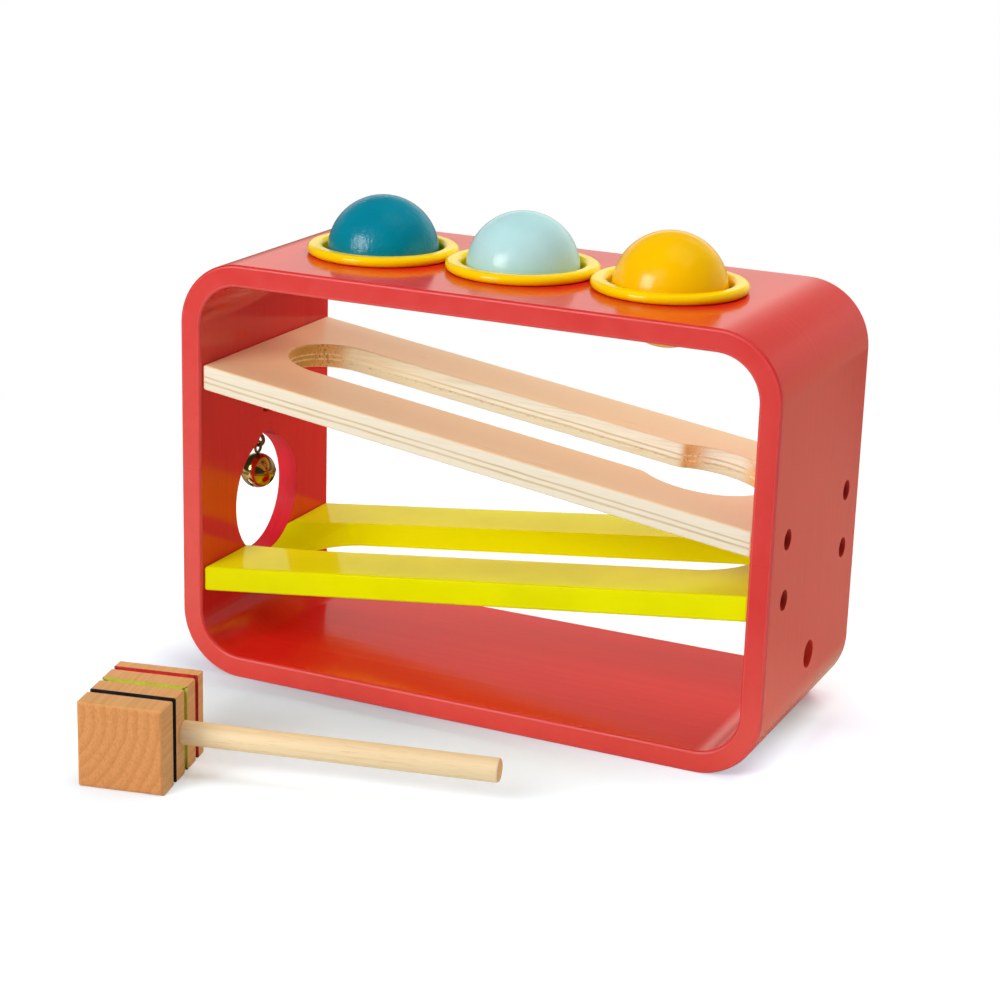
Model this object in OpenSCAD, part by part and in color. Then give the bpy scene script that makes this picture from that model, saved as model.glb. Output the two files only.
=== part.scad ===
// Ball pounding toy: a frame of bent plywood, three balls in soft rings, two ramps, a bell and a mallet.
// Millimetres. The origin is on the floor at the middle of the frame. +X runs from the bell's wall
// to the wall with the mallet hole, +Y runs to the back and +Z is up.

/* [Frame] */
// Outside length of the frame
frame_l = 254; // [240:1:300]
// Outside width of the frame, front to back
frame_w = 107; // [100:1:130]
// Outside height of the frame
frame_h = 174; // [168:1:210]
// Thickness of the bent plywood
wall = 9; // [7:0.5:12]
// Outside radius of the bends
bend_r = 26.5; // [20:0.5:32]
// Rounding of the plywood's edges
frame_round = 1.2; // [0.4:0.1:2.5]
// Height of the glued seam between the two bent halves
seam_z = 87; // [78:1:88]
// Diameter of the dowels in the seam
dowel_d = 5; // [3:0.5:6]
// Length of a dowel
dowel_l = 24; // [14:1:40]
// Distance from a dowel's axis to the frame's front or back face
dowel_in = 6.5; // [5:0.5:9]

/* [Balls and rings] */
// Diameter of a ball
ball_d = 45.5; // [44.5:0.5:49]
// Height of a seated ball's centre above the top of the frame
ball_rise = 1; // [-1:0.5:3]
// Gap round the ball at the ring's mouth
mouth_gap = 1.75; // [1:0.25:3]
// Wall of the ring's sleeve
sleeve_t = 2.5; // [1.5:0.25:4]
// Reach of the ring's flange past its sleeve
flange_over = 4; // [2.5:0.5:5]
// Height of the ring's flange
flange_h = 4; // [2.5:0.5:6]
// Gap between two rings
ring_gap = 0.5; // [0.2:0.1:3]
// Shift of the row of rings along the frame
ring_shift = -1.1; // [-3:0.1:3]
// How much deeper the right ball sits
right_sink = 1; // [0:0.1:1.5]
// How much smaller the lip's radius is than the ball's
lip_bite = 1.15; // [0.5:0.05:1.5]
// Radius of the lip's round edge
lip_r = 1.6; // [1:0.1:2]
// Reach of the ring's foot under the frame's top
foot_over = 1.4; // [0.8:0.1:2.5]
// Height of the ring's foot
foot_h = 1.5; // [1:0.1:3]

/* [Ramps] */
// Thickness of a ramp
ramp_t = 10.2; // [8:0.1:12]
// Distance from a ramp's long edge to the frame's front or back face
ramp_in = 2; // [0.5:0.5:6]
// Rounding of a ramp's long edges
ramp_round = 0.8; // [0.3:0.1:2]
// Height of the upper ramp's top face at mid-length
upper_z = 114.9; // [110:0.1:122]
// Fall of the upper ramp to the right, in degrees
upper_fall = 7.7; // [4:0.1:9]
// Height of the lower ramp's top face at mid-length
lower_z = 59.3; // [56:0.1:64]
// Fall of the lower ramp to the left, in degrees
lower_fall = 7; // [4:0.1:8]
// How much narrower the slots are than a ball
slot_under = 3; // [2:0.5:12]
// Distance from the wall to the left end of a slot
slot_end = 13.7; // [10:0.1:24]
// Distance from the wall to the drop hole and to the right end of the lower slot
drop_end = 11; // [8:0.5:20]
// How much wider the drop hole is than a ball
drop_gap = 9.5; // [4:0.5:14]
// Radius that blends the upper slot into the drop hole
drop_blend = 8; // [4:0.5:12]

/* [Holes in the walls] */
// How much wider the exit hole is than a ball
exit_gap = 5.5; // [3:0.5:8]
// Depth of the ball's groove in the lower ramp at the left wall
scoop = 7.4; // [4:0.1:8]
// Diameter of the hole that stores the mallet
mallet_hole_d = 11.2; // [10.5:0.1:14]
// Height of the mallet hole's axis
mallet_hole_z = 35.6; // [20:0.1:50]

/* [Ramp screws] */
// Diameter of a screw's shank
screw_d = 4; // [3:0.1:5]
// Length of a screw's shank
screw_l = 28; // [20:1:40]
// Diameter of a screw's head
screw_head_d = 7; // [5.5:0.1:7.5]
// Height of a screw's head
screw_head_h = 2.6; // [1.8:0.1:3]
// Width of the hexagon in a screw's head
screw_hex = 3; // [2:0.5:4]
// Diameter of the counterbore in the wall
counterbore_d = 8.2; // [7.8:0.1:10]
// Depth of the counterbore
counterbore_depth = 5; // [3.5:0.5:6]

/* [Bell] */
// Diameter of the bell
bell_d = 15; // [12:0.5:17]
// Thickness of the bell's sheet
bell_t = 0.6; // [0.4:0.1:1]
// Width of the slots in the bell's lower half
bell_slot = 1.4; // [0.8:0.1:2]
// Diameter of the pellet in the bell
pellet_d = 4.5; // [3.5:0.1:5.5]
// Wire of the loop on the bell
loop_wire = 1.2; // [0.8:0.1:1.6]
// Radius of the loop at the middle of its wire
loop_r = 2.3; // [2.2:0.1:3]
// Wire of the eye that holds the bell
eye_wire = 1.6; // [1.2:0.1:1.8]
// Radius of the eye at the middle of its wire
eye_r = 2.6; // [2.5:0.1:3.2]
// Length of the neck between the eye and the wood
eye_neck = 1.75; // [1:0.25:3]
// Diameter of the eye bolt's shank
bolt_d = 3; // [2.5:0.5:4]
// Width of the nut across its flats
nut_w = 5.5; // [5.5:0.5:7]
// Thickness of the nut
nut_h = 2.4; // [2:0.1:3.2]
// Radius of the notch over the exit hole
notch_r = 8.5; // [6:0.5:10]
// Rise of the notch above the exit hole
notch_rise = 3.2; // [2:0.1:5]
// Wood between the notch and the cross hole
web_h = 7.8; // [5:0.1:12]
// Diameter of the cross hole for the nut
cross_d = 10; // [9:0.5:12]

/* [Mallet] */
// Width and height of the mallet's head
head_w = 33.7; // [28:0.1:40]
// Length of the mallet's head
head_l = 44.5; // [40:0.5:60]
// Chamfer round the head's two striking faces
head_chamfer = 0.9; // [0.5:0.1:4]
// Rounding of the head's long edges
head_round = 0.6; // [0.3:0.1:2]
// Width of the saw kerfs round the head
kerf_w = 3.4; // [1:0.1:5]
// Depth of the saw kerfs
kerf_depth = 1.8; // [0.8:0.1:2.5]
// Distance between the kerfs
kerf_pitch = 12; // [8:0.1:13]
// Distance from the handle's axis back to the middle kerf
kerf_shift = 2; // [-3:0.1:3]
// Diameter of the handle
handle_d = 9.2; // [8:0.1:10]
// Length of the handle outside the head
handle_l = 121.5; // [90:0.5:160]
// Depth of the handle's socket in the head
socket_depth = 20; // [12:0.5:24]
// Place of the head's middle along the frame
mallet_x = -84; // [-110:1:-40]
// Distance from the frame's front face to the head's middle
mallet_out = 97.5; // [70:0.5:140]
// Turn of the mallet on the floor, in degrees
mallet_turn = 12; // [0:1:30]

/* [Hidden] */
$fn = 64;

// Clearances
glue_gap = 0.05;
turn_gap = 0.15;
seat_gap = 0.25;
sleeve_gap = 0.2;
foot_gap = 0.1;
screw_gap = 0.2;
// Extra length of a cut past the face that it starts from
past = 2;
// Flats in a rounded edge
round_steps = 3;
// Flats in a quarter of the ring's section
ring_steps = 6;

// Inside of the frame
inner_l = frame_l - 2 * wall;
wall_x = (frame_l - wall) / 2;
bend_in = frame_l / 2 - bend_r;

// Rings and balls
ball_r = ball_d / 2;
mouth_r = ball_r + mouth_gap;
sleeve_r = mouth_r + sleeve_t;
flange_r = sleeve_r + flange_over;
ring_pitch = 2 * flange_r + ring_gap;
lip_c = ball_r - lip_bite + lip_r;
lip_z = ball_rise - sqrt(pow(ball_r + lip_r + seat_gap, 2) - pow(lip_c, 2));
lip_turn = acos(min(1, (mouth_r - lip_c) / lip_r));

// Ramps
ramp_w = frame_w - 2 * ramp_in;
slot_w = ball_d - slot_under;
rail_y = (slot_w + ramp_w) / 4;
drop_r = (ball_d + drop_gap) / 2;
upper_half = inner_l / 2 / cos(upper_fall);
lower_half = inner_l / 2 / cos(lower_fall);
upper_slot_left = slot_end + slot_w / 2 - upper_half;
drop_x = upper_half - drop_end - drop_r;
lower_slot_left = slot_end + slot_w / 2 - lower_half;
lower_slot_right = lower_half - drop_end - slot_w / 2;
// Middle of the arc that blends the slot into the drop hole
blend_x = drop_x - sqrt(pow(drop_r + drop_blend, 2) - pow(slot_w / 2 + drop_blend, 2));
blend_y = slot_w / 2 + drop_blend;

// Exit hole, notch and bell
exit_r = (ball_d + exit_gap) / 2;
exit_z = lower_z - inner_l / 2 * tan(lower_fall) - scoop + exit_r;
notch_top = exit_z + exit_r + notch_rise;
cross_z = notch_top + web_h + cross_d / 2;
nut_z = cross_z - sqrt(pow(cross_d / 2, 2) - pow(nut_w / 2, 2)) + glue_gap;
eye_z = notch_top - eye_neck - eye_r - eye_wire / 2;
// The bell swings about the top of its loop
swing_z = eye_z - eye_r + (eye_wire + loop_wire) / 2 + turn_gap;
loop_z = swing_z - loop_r;
bell_r = bell_d / 2;
bell_z = loop_z - loop_r - loop_wire / 2 - bell_r;
rim_h = 0.5;
rim_out = 0.3;
rivet_r = loop_wire * 1.1;
rivet_h = 0.8;
rivet_top = sqrt(pow(bell_r - bell_t, 2) - pow(rivet_r, 2)) - glue_gap;
slot_top = bell_r * 0.4;
pellet_drop = bell_r - bell_t - pellet_d / 2 - sleeve_gap;

// Points of an arc about c, from angle a to angle b
function arc(c, r, a, b, n) = [for (i = [0:n]) c + r * [cos(a + (b - a) * i / n), sin(a + (b - a) * i / n)]];

// Points of a rectangle, a wide and b high, whose corners are rounded, or cut off straight with one step
function rounded(a, b, r, steps = round_steps) = concat(
    arc([a / 2 - r, b / 2 - r], r, 0, 90, steps),
    arc([r - a / 2, b / 2 - r], r, 90, 180, steps),
    arc([r - a / 2, r - b / 2], r, 180, 270, steps),
    arc([a / 2 - r, r - b / 2], r, 270, 360, steps)
);

// Middle of the left, middle or right ring
function ring_x(place) = place * ring_pitch + ring_shift;

// Where a ramp's middle plane reaches x, measured along the ramp
function along(x, fall) = (x + ramp_t / 2 * sin(fall)) / cos(fall);

// A bar along X with rounded long edges
module x_bar(length, width, height, round_r) {
    rotate([90, 0, 90])
        linear_extrude(length, center = true)
            polygon(rounded(width, height, round_r));
}

// One quarter bend of the frame, which starts at that angle
module bend(start) {
    rotate([0, -start, 0])
        rotate([90, 0, 0])
            rotate_extrude(angle = 90)
                translate([bend_r - wall / 2, 0])
                    polygon(rounded(wall, frame_w, frame_round));
}

// Straight part of a side wall between two heights
module side_wall(side, low, high) {
    translate([side * wall_x, 0, low])
        linear_extrude(high - low)
            polygon(rounded(wall, frame_w, frame_round));
}

// A tilted ramp's own space: its top face is at 0
module on_ramp(height, fall) {
    translate([0, 0, height])
        rotate([0, fall, 0])
            children();
}

// Both ends and both rails of a ramp, with X pointing out through the wall
module at_screws(height, fall) {
    on_ramp(height, fall)
        for (side = [-1, 1], rail = [-1, 1])
            translate([along(side * frame_l / 2, fall), rail * rail_y, -ramp_t / 2])
                rotate([0, 90 * side, 0])
                    children();
}

// Counterbore and clearance hole of each screw, through the wall
module screw_wall_holes(height, fall) {
    at_screws(height, fall) {
        translate([0, 0, -counterbore_depth])
            cylinder(d = counterbore_d, h = counterbore_depth + past);
        translate([0, 0, -wall - past])
            cylinder(d = screw_d + 2 * screw_gap, h = wall + past);
    }
}

// Pilot holes of the screws in a ramp's ends
module screw_pilot_holes(height, fall) {
    at_screws(height, fall)
        translate([0, 0, -counterbore_depth - screw_l - past])
            cylinder(d = screw_d + 2 * glue_gap, h = screw_l + past);
}

// Screws with a cylinder head, a hexagon socket and a pointed shank
module ramp_screws(height, fall) {
    tip = screw_d;
    at_screws(height, fall)
        translate([0, 0, -counterbore_depth])
            difference() {
                union() {
                    cylinder(d = screw_head_d, h = screw_head_h);
                    translate([0, 0, tip - screw_l])
                        cylinder(d = screw_d, h = screw_l - tip);
                    translate([0, 0, -screw_l])
                        cylinder(d1 = screw_d / 4, d2 = screw_d, h = tip);
                }
                translate([0, 0, screw_head_h * 0.4])
                    cylinder(d = screw_hex / cos(30), h = screw_head_h, $fn = 6);
            }
}

// Exit hole, its notch, the cross hole and the eye bolt's hole in the left wall
module left_wall_holes() {
    translate([-wall_x, 0, 0]) {
        translate([-wall, 0, exit_z])
            rotate([0, 90, 0])
                cylinder(r = exit_r, h = 2 * wall);
        translate([-wall, 0, notch_top - notch_r])
            rotate([0, 90, 0])
                cylinder(r = notch_r, h = 2 * wall);
        translate([-wall, 0, cross_z])
            rotate([0, 90, 0])
                cylinder(d = cross_d, h = 2 * wall);
        translate([0, 0, notch_top - past])
            cylinder(d = bolt_d + 2 * sleeve_gap, h = web_h + past + cross_d / 2);
    }
}

// Hole for the mallet's handle in the right wall
module mallet_hole() {
    translate([wall_x - wall, 0, mallet_hole_z])
        rotate([0, 90, 0])
            cylinder(d = mallet_hole_d, h = 2 * wall);
}

// Places of the dowels in the seam
module at_dowels() {
    for (side = [-1, 1], face = [-1, 1])
        translate([side * wall_x, face * (frame_w / 2 - dowel_in), seam_z])
            children();
}

module dowel_holes() {
    at_dowels()
        cylinder(d = dowel_d + 2 * glue_gap, h = dowel_l + past, center = true);
}

module wall_holes() {
    screw_wall_holes(upper_z, upper_fall);
    screw_wall_holes(lower_z, -lower_fall);
    left_wall_holes();
    mallet_hole();
    dowel_holes();
}

module frame_top() {
    color([0.85, 0.2, 0.2])
        difference() {
            union() {
                translate([0, 0, frame_h - wall / 2])
                    x_bar(2 * bend_in, frame_w, wall, frame_round);
                translate([bend_in, 0, frame_h - bend_r])
                    bend(0);
                translate([-bend_in, 0, frame_h - bend_r])
                    bend(90);
                for (side = [-1, 1])
                    side_wall(side, seam_z, frame_h - bend_r);
            }
            for (place = [-1:1])
                translate([ring_x(place), 0, frame_h - wall - past])
                    cylinder(r = sleeve_r + sleeve_gap, h = wall + 2 * past);
            wall_holes();
        }
}

module frame_base() {
    color([0.85, 0.2, 0.2])
        difference() {
            union() {
                translate([0, 0, wall / 2])
                    x_bar(2 * bend_in, frame_w, wall, frame_round);
                translate([-bend_in, 0, bend_r])
                    bend(180);
                translate([bend_in, 0, bend_r])
                    bend(270);
                for (side = [-1, 1])
                    side_wall(side, bend_r, seam_z);
            }
            wall_holes();
        }
}

module frame_dowels() {
    color([0.9, 0.75, 0.55])
        at_dowels()
            cylinder(d = dowel_d, h = dowel_l, center = true);
}

// Section of a ring, from its axis outwards, with the frame's top at 0 and its lip lowered by sink
function ring_section(sink) = concat(
    arc([flange_r - flange_h / 2, flange_h / 2], flange_h / 2, -90, 90, 2 * ring_steps),
    arc([mouth_r + flange_h / 2, flange_h / 2], flange_h / 2, 90, 180, ring_steps),
    arc([lip_c, lip_z - sink], lip_r, lip_turn, 360 - lip_turn, 2 * ring_steps),
    [
        [mouth_r, -wall - foot_gap - foot_h],
        [sleeve_r + foot_over / 2, -wall - foot_gap - foot_h],
        [sleeve_r + foot_over, -wall - foot_gap - foot_h / 2],
        [sleeve_r + foot_over, -wall - foot_gap],
        [sleeve_r, -wall - foot_gap],
        [sleeve_r, 0]
    ]
);

module ring(place, sink = 0) {
    color([1, 0.82, 0])
        translate([ring_x(place), 0, frame_h])
            rotate_extrude($fn = 96)
                polygon(ring_section(sink));
}

module ball(place, paint, sink = 0) {
    color(paint)
        translate([ring_x(place), 0, frame_h + ball_rise - sink])
            sphere(d = ball_d, $fn = 96);
}

module ring_left() ring(-1);
module ring_middle() ring(0);
module ring_right() ring(1, right_sink);
module ball_left() ball(-1, [0, 0.5, 0.6]);
module ball_middle() ball(0, [0.7, 0.86, 0.86]);
module ball_right() ball(1, [1, 0.78, 0], right_sink);

// A board with rounded long edges, cut off at the walls
module ramp_board(height, fall) {
    intersection() {
        on_ramp(height, fall)
            translate([0, 0, -ramp_t / 2])
                x_bar(frame_l + frame_h, ramp_w, ramp_t, ramp_round);
        translate([-inner_l / 2, -frame_w, 0])
            cube([inner_l, 2 * frame_w, frame_h]);
    }
}

// Straight slot with round ends through a ramp
module slot_cut(left, right) {
    translate([0, 0, -ramp_t - past])
        linear_extrude(ramp_t + 2 * past) {
            for (end = [left, right])
                translate([end, 0])
                    circle(d = slot_w);
            translate([left, -slot_w / 2])
                square([right - left, slot_w]);
        }
}

// Round hole that a ball drops through, with blended corners where the slot runs into it
module drop_cut() {
    touch = [blend_x, blend_y] + ([drop_x, 0] - [blend_x, blend_y]) * drop_blend / (drop_r + drop_blend);
    translate([0, 0, -ramp_t - past])
        linear_extrude(ramp_t + 2 * past) {
            translate([drop_x, 0])
                circle(r = drop_r);
            for (face = [-1, 1])
                scale([1, face])
                    difference() {
                        polygon([[blend_x, 0], [blend_x, blend_y], touch, [drop_x, 0]]);
                        translate([blend_x, blend_y])
                            circle(r = drop_blend);
                    }
        }
}

module upper_ramp() {
    color([0.9, 0.73, 0.57])
        difference() {
            ramp_board(upper_z, upper_fall);
            on_ramp(upper_z, upper_fall) {
                slot_cut(upper_slot_left, drop_x);
                drop_cut();
            }
            screw_pilot_holes(upper_z, upper_fall);
        }
}

// The ball's groove at the left end runs level, in line with the exit hole
module lower_ramp() {
    color([0.88, 0.84, 0.05])
        difference() {
            ramp_board(lower_z, -lower_fall);
            on_ramp(lower_z, -lower_fall)
                slot_cut(lower_slot_left, lower_slot_right);
            translate([-frame_l / 2, 0, exit_z])
                rotate([0, 90, 0])
                    cylinder(r = exit_r, h = frame_l / 2 + lower_slot_left * cos(lower_fall) + past);
            screw_pilot_holes(lower_z, -lower_fall);
        }
}

module upper_ramp_screws() {
    color([0.25, 0.22, 0.2])
        ramp_screws(upper_z, upper_fall);
}

module lower_ramp_screws() {
    color([0.25, 0.22, 0.2])
        ramp_screws(lower_z, -lower_fall);
}

// A wire ring that stands upright and turns its axis by that angle about Z
module wire_ring(ring_r, wire, turn) {
    rotate([90, 0, turn])
        rotate_extrude()
            translate([ring_r, 0])
                circle(d = wire);
}

module bell_eye_bolt() {
    shank_low = eye_z + eye_r;
    color([0.75, 0.75, 0.72])
        translate([-wall_x, 0, 0]) {
            translate([0, 0, eye_z])
                wire_ring(eye_r, eye_wire, 0);
            translate([0, 0, shank_low])
                cylinder(d = bolt_d, h = nut_z + nut_h + nut_h / 2 - shank_low);
        }
}

module bell_nut() {
    color([0.75, 0.75, 0.72])
        translate([-wall_x, 0, nut_z])
            difference() {
                cylinder(d = nut_w / cos(30), h = nut_h, $fn = 6);
                translate([0, 0, -past])
                    cylinder(d = bolt_d + 2 * glue_gap, h = nut_h + 2 * past);
            }
}

// The bell's wire loop with a stem that is riveted inside the crown
module bell_loop() {
    color([0.8, 0.62, 0.25])
        translate([-wall_x, 0, 0]) {
            translate([0, 0, loop_z])
                wire_ring(loop_r, loop_wire, 90);
            translate([0, 0, bell_z + rivet_top - rivet_h / 2])
                cylinder(d = loop_wire, h = loop_z - loop_r - bell_z - rivet_top + rivet_h / 2);
            translate([0, 0, bell_z + rivet_top - rivet_h])
                cylinder(r = rivet_r, h = rivet_h);
        }
}

// One half of the hollow bell with its share of the seam's rim
module bell_half(up) {
    difference() {
        union() {
            sphere(r = bell_r);
            cylinder(r = bell_r + rim_out, h = 2 * rim_h, center = true);
        }
        sphere(r = bell_r - bell_t);
        translate([-bell_d, -bell_d, up ? -2 * bell_d : 0])
            cube(2 * bell_d);
    }
}

module bell_crown() {
    color([0.83, 0.66, 0.28])
        translate([-wall_x, 0, bell_z])
            difference() {
                bell_half(true);
                cylinder(d = loop_wire + 2 * glue_gap, h = bell_d);
            }
}

// The lower half has two crossed slots that end in round holes
module bell_cup() {
    color([0.83, 0.66, 0.28])
        translate([-wall_x, 0, bell_z])
            difference() {
                bell_half(false);
                for (turn = [0, 90])
                    rotate([0, 0, turn]) {
                        translate([-bell_d, -bell_slot / 2, -bell_d])
                            cube([2 * bell_d, bell_slot, bell_d - slot_top]);
                        translate([-bell_d, 0, -slot_top])
                            rotate([0, 90, 0])
                                cylinder(r = bell_slot, h = 2 * bell_d);
                    }
            }
}

module bell_pellet() {
    color([0.6, 0.6, 0.6])
        translate([-wall_x, 0, bell_z - pellet_drop])
            sphere(d = pellet_d);
}

// The mallet lies on the floor: its handle points along its own +X
module on_mallet() {
    translate([mallet_x, -frame_w / 2 - mallet_out, head_w / 2])
        rotate([0, 0, mallet_turn])
            children();
}

// The head before its kerfs: rounded along its length and chamfered round both ends
module head_block() {
    intersection() {
        rotate([90, 0, 0])
            linear_extrude(head_l, center = true)
                polygon(rounded(head_w, head_w, head_round));
        linear_extrude(head_w, center = true)
            polygon(rounded(head_w, head_l, head_chamfer, 1));
        rotate([90, 0, 90])
            linear_extrude(head_w, center = true)
                polygon(rounded(head_l, head_w, head_chamfer, 1));
    }
}

module mallet_head() {
    core_w = head_w - 2 * kerf_depth;
    color([0.84, 0.6, 0.38])
        on_mallet()
            difference() {
                head_block();
                for (row = [-1:1])
                    translate([0, kerf_shift + row * kerf_pitch, 0])
                        difference() {
                            cube([head_w + past, kerf_w, head_w + past], center = true);
                            cube([core_w, kerf_w + past, core_w], center = true);
                        }
                translate([head_w / 2 - socket_depth, 0, 0])
                    rotate([0, 90, 0])
                        cylinder(d = handle_d + 2 * glue_gap, h = socket_depth + past);
            }
}

module mallet_handle() {
    ease = handle_d / 10;
    r = handle_d / 2;
    h = socket_depth - glue_gap + handle_l;
    color([0.93, 0.8, 0.6])
        on_mallet()
            translate([head_w / 2 - socket_depth + glue_gap, 0, 0])
                rotate([0, 90, 0])
                    rotate_extrude()
                        polygon(concat(
                            [[0, 0], [r, 0]],
                            arc([r - ease, h - ease], ease, 0, 90, round_steps),
                            [[0, h]]
                        ));
}

frame_top();
frame_base();
frame_dowels();
ring_left();
ring_middle();
ring_right();
upper_ramp();
lower_ramp();
upper_ramp_screws();
lower_ramp_screws();
bell_eye_bolt();
bell_nut();
ball_left();
ball_middle();
ball_right();
bell_loop();
bell_crown();
bell_cup();
bell_pellet();
mallet_head();
mallet_handle();
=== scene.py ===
"""Looks of the ball pounding toy: lacquered frame, soft rings, painted balls, ramps, bell and mallet."""

import math

import bmesh
import bpy
from mathutils import Matrix, Vector


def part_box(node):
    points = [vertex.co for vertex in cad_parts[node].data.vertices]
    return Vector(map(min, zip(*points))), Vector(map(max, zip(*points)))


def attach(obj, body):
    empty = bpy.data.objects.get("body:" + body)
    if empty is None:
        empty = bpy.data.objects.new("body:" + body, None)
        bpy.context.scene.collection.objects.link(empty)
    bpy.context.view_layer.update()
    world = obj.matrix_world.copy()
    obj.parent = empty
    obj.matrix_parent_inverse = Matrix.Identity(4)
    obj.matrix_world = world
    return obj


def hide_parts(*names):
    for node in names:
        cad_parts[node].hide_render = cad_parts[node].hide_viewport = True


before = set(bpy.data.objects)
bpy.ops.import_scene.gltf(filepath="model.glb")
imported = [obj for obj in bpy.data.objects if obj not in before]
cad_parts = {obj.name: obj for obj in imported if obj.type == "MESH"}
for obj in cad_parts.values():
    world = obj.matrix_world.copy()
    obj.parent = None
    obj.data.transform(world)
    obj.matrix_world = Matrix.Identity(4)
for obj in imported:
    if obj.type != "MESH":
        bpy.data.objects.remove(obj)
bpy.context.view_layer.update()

MM = 0.001

# Frame
frame_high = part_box("frame_top")[1]
HALF_L = frame_high.x
HALF_W = frame_high.y
FRAME_H = frame_high.z
WALL = 9 * MM
BEND_R = 26.5 * MM
FRAME_ROUND = 1.2 * MM
SEAM_Z = 87 * MM
INNER_X = HALF_L - WALL
WALL_X = HALF_L - WALL / 2
BEND_STEPS = 24

# Places of the finishes in the frame's list
LACQUER, DRILLED_AND_SHADED, BORED, EDGE, RIM = range(5)

# Eased rims, and how near counts as on a face or inside a hole
EASE = 0.5 * MM
PAST_EASE = 0.55 * MM
SLACK = 0.1 * MM
TINY = 0.02 * MM
FLAT = 0.005 * MM

# Rings and balls
RINGS = ("ring_left", "ring_middle", "ring_right")
ring_low, ring_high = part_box("ring_middle")
ball_low, ball_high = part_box("ball_middle")
BALL_R = (ball_high.x - ball_low.x) / 2
FLANGE_R = (ring_high.x - ring_low.x) / 2
FLANGE_H = ring_high.z - FRAME_H
SLEEVE_R = 27 * MM
MOUTH_R = 24.5 * MM
LIP_R = 1.6 * MM
LIP_BITE = 1.15 * MM
LIP_GAP = 0.25 * MM
FOOT_R = SLEEVE_R + 1.4 * MM
FOOT_H = 1.5 * MM
FOOT_ROUND = 0.5 * MM
SLEEVE_ROOM = 0.2 * MM

# Ramps
RAMP_W = 2 * HALF_W - 4 * MM
RAMP_T = 10.2 * MM
RAMP_ROUND = 1.1 * MM
RAMP_STRIP = RAMP_W / 2 - 6 * MM
RAMP_MIDDLE = RAMP_W / 2 - 9 * MM
UPPER_Z = 114.9 * MM
UPPER_FALL = math.radians(7.7)
LOWER_Z = 59.3 * MM
LOWER_FALL = math.radians(-7)
SLOT_R = 21.25 * MM
UPPER_SLOT_LEFT = -84.12 * MM
DROP_X = 80.57 * MM
DROP_R = 27.5 * MM
DROP_BLEND = 8 * MM
LOWER_SLOT_LEFT = -83.94 * MM
LOWER_SLOT_RIGHT = 86.64 * MM
GROOVE_END = -85.45 * MM

# Holes in the walls
EXIT_R = 25.5 * MM
EXIT_Z = 62.91 * MM
NOTCH_R = 8.5 * MM
NOTCH_Z = 83.11 * MM
CROSS_R = 5 * MM
CROSS_Z = 104.41 * MM
MALLET_HOLE_R = 5.6 * MM
MALLET_HOLE_Z = 35.6 * MM
OVERCUT = 2 * MM
COUNTERBORE_R = 4.1 * MM
COUNTERBORE_DEPTH = 5 * MM
SCREW_HEAD_R = 3.5 * MM

# Bell
BELL_R = 7.5 * MM
BELL_T = 0.6 * MM
BELL_Z = 72.71 * MM
BELL_RIM = 0.3 * MM
BELL_RIM_H = 0.5 * MM
BELL_SLOT = 1.4 * MM
BELL_SLOT_TOP = 0.4 * BELL_R
STEM_HOLE_R = 0.65 * MM

# Mallet
mallet_low, mallet_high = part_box("mallet_head")
HEAD_W = 33.7 * MM
HEAD_L = 44.5 * MM
HEAD_CHAMFER = 0.9 * MM
KERF_W = 3.4 * MM
KERF_DEPTH = 1.8 * MM
KERF_PITCH = 12 * MM
KERF_SHIFT = 2 * MM
HANDLE_R = 4.6 * MM
HANDLE_L = 121.5 * MM
HANDLE_SOCKET = 20 * MM
HANDLE_ROUND = 1 * MM
MALLET_TURN = math.radians(12)
MALLET_AT = (mallet_low + mallet_high) / 2

# Camera
CAMERA_AT = (0.38590, -0.86168, 0.37354)
CAMERA_TURN = math.radians(24.5668)
CAMERA_TILT = math.radians(90 - 17.3568)
CAMERA_ROLL = math.radians(1.7556)
CAMERA_LENS = 87.226
CAMERA_SENSOR = 36

# Light
LAMP_TARGET = (0, 0, 0.10)
KEY_POWER = 12.0
FILL_POWER = 10.5
BACK_POWER = 16.0
OVERHEAD_POWER = 12.5
ROOM_EVEN = 0.06
ROOM_BACK = 1.8
MIRROR_DIM = 0.05
MIRROR_BACK = 1.0
MIRROR_LOW = 0.3
MIRROR_SIDE = 0.5
MIRROR_TINT = (1.0, 0.99, 0.90)

# Floor
FLOOR_LIFT = 0.17
FLOOR_BEHIND = 0.16
FLOOR_BESIDE = 0.5
FLOOR_AHEAD = 0.25
FLOOR_TINT = (1.0, 0.93, 0.70)
FLOOR_PAPER = (0.895, 0.938, 0.955)
# Painted on the floor: a bluer patch by the mallet against the warm bounced light, and painted shade near
# the frame.
FLOOR_BY_MALLET = (0.83, 0.925, 1.0)
FLOOR_PAINTED_SHADE = (0.57, 0.69, 0.78)
WHITE = (1.0, 1.0, 1.0)
BLACK = (0.0, 0.0, 0.0)

# Most values of a noise lie between these
NOISE_LOW = 0.3
NOISE_HIGH = 0.7


def bm_verts(made):
    """The vertices among what an operator made."""
    return [part for part in made["geom"] if isinstance(part, bmesh.types.BMVert)]


def arc(centre, radius, start, end, steps):
    """Points along an arc in a plane, angles in degrees."""
    points = []
    for step in range(steps + 1):
        angle = math.radians(start + (end - start) * step / steps)
        points.append((centre[0] + radius * math.cos(angle), centre[1] + radius * math.sin(angle)))
    return points


def without_repeats(points):
    """A closed outline with no point given twice in a row."""
    kept = []
    for point in points:
        if not kept or math.dist(point, kept[-1]) > 1e-6:
            kept.append(point)
    if math.dist(kept[0], kept[-1]) < 1e-6:
        kept.pop()
    return kept


def slab(outline, low, high):
    """A plate of an X-Y outline between two heights."""
    bm = bmesh.new()
    corners = [bm.verts.new((x, y, low)) for x, y in without_repeats(outline)]
    face = bm.faces.new(corners)
    raised = bmesh.ops.extrude_face_region(bm, geom=[face])
    bmesh.ops.translate(bm, verts=bm_verts(raised), vec=(0, 0, high - low))
    bmesh.ops.recalc_face_normals(bm, faces=bm.faces)
    return bm


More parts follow.
